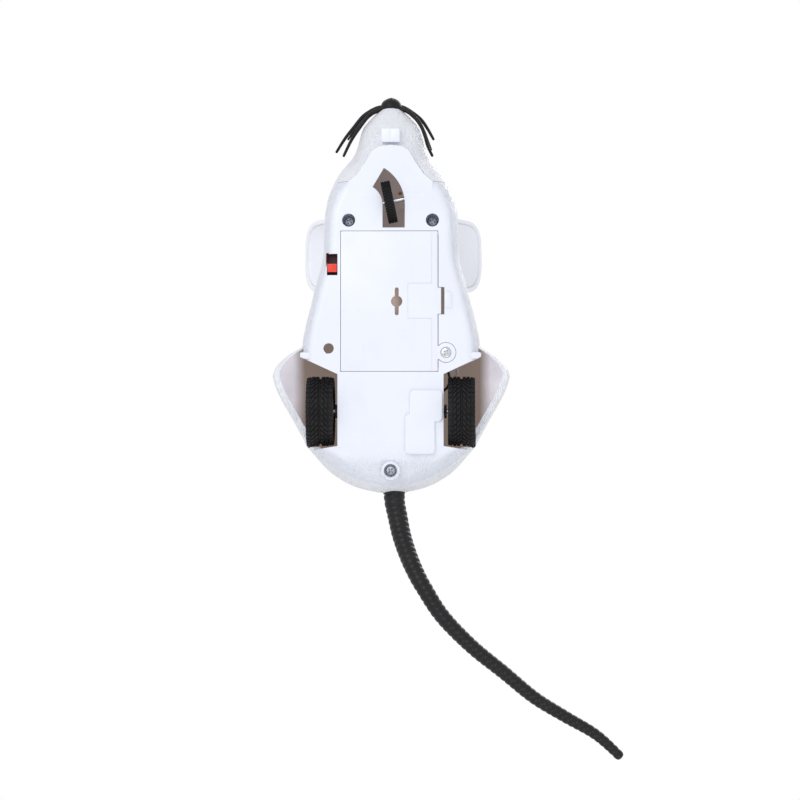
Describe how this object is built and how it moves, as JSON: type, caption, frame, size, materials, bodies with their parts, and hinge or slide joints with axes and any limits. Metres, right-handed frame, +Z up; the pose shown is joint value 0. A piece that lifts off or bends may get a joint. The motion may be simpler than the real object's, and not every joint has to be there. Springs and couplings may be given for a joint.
{
  "type": "battery toy mouse",
  "caption": "White toy mouse with geared rear wheels, a swing-arm front wheel, a battery door, a slide switch and a ribbed black rubber tail.",
  "frame": {"origin": "middle of the footprint of the body without its free tail, on the floor that the wheels stand on", "axes": "+Z up, +Y towards the tail, the nose points to -Y. With the mouse standing, +X is its own left side. Node names with left and right go by the view of the underside with the nose up, where left is -X."},
  "size_m": [0.1583, 0.299, 0.0668],
  "materials": {
    "shell_white": "satin, moulded fur grooves",
    "chassis_white": "satin",
    "soft_black": "satin black soft plastic",
    "tyre_black": "matt with a moulded tread",
    "hard_black": "matt",
    "eye_black": "polished",
    "steel": "drawn bar",
    "zinc": "zinc plated",
    "nylon": "natural nylon",
    "taupe": "matt",
    "red": "gloss",
    "board_green": "solder mask",
    "brass": "machined",
    "cell_blue": "shrink sleeve",
    "cell_gold": "shrink sleeve",
    "wire_white": "insulation"
  },
  "bodies": {
    "chassis_body": {"upper_shell": "shell_white", "chassis": "chassis_white", "nose_whiskers": "soft_black", "front_teeth": "shell_white", "eye_left": "eye_black", "eye_right": "eye_black", "ear_left": "shell_white", "ear_right": "shell_white", "tail": "soft_black", "tail_grommet": "soft_black", "battery_cell_1": "cell_blue", "battery_cell_2": "cell_gold", "battery_cell_3": "cell_blue", "battery_contact_front": "steel", "battery_contact_rear": "steel", "case_screw_left": "zinc", "case_screw_right": "zinc", "case_screw_rear": "zinc", "switch_body": "zinc", "circuit_board": "board_green", "wire_black": "hard_black", "wire_white": "wire_white", "compound_gear_shaft": "steel", "motor": "zinc", "gearbox_frame": "nylon", "axle_bush_left": "hard_black", "axle_bush_right": "hard_black", "steering_pivot_screw": "zinc", "slot_plate": "taupe"},
    "rear_drive": {"rear_axle": "steel", "axle_gear": "nylon", "rear_tyre_left": "tyre_black", "rear_tyre_right": "tyre_black", "rear_hub_left": "nylon", "rear_hub_right": "nylon"},
    "idler": {"compound_gear": "nylon"},
    "motor_rotor": {"motor_shaft": "steel", "motor_pinion": "brass"},
    "steering": {"steering_arm": "taupe", "front_axle": "steel"},
    "front_wheel": {"front_tyre": "tyre_black", "front_hub": "hard_black"},
    "switch": {"switch_knob": "red"},
    "door": {"battery_door": "chassis_white", "door_screw": "steel"}
  },
  "joints": [
    {"name": "rear_axle_spin", "type": "hinge", "parent": "chassis_body", "child": "rear_drive", "pos_m": [0, 0.05175, 0.0158], "axis": [1, 0, 0], "continuous": true},
    {"name": "idler_spin", "type": "hinge", "parent": "chassis_body", "child": "idler", "pos_m": [0, 0.06392, 0.014], "axis": [1, 0, 0], "continuous": true},
    {"name": "motor_spin", "type": "hinge", "parent": "chassis_body", "child": "motor_rotor", "pos_m": [0, 0.0605, 0.02424], "axis": [1, 0, 0], "continuous": true},
    {"name": "steering_swing", "type": "hinge", "parent": "chassis_body", "child": "steering", "pos_m": [-0.0128, -0.0414, 0.0125], "axis": [0, 0, -1], "range_deg": [-11.5, 8]},
    {"name": "front_wheel_spin", "type": "hinge", "parent": "steering", "child": "front_wheel", "pos_m": [-0.0007, -0.0429, 0.0098], "axis": [0.9799, -0.1994, 0], "continuous": true},
    {"name": "switch_slide", "type": "slide", "parent": "chassis_body", "child": "switch", "axis": [0, -1, 0], "range_m": [0, 0.0038]},
    {"name": "door_swing", "type": "hinge", "parent": "chassis_body", "child": "door", "pos_m": [-0.0224, 0.0022, 0.005], "axis": [0, 1, 0], "range_deg": [0, 100]}
  ],
  "couplings": [
    {"joint": "idler_spin", "follows": "rear_axle_spin", "ratio": -2.4167},
    {"joint": "motor_spin", "follows": "rear_axle_spin", "ratio": 6.2833}
  ]
}
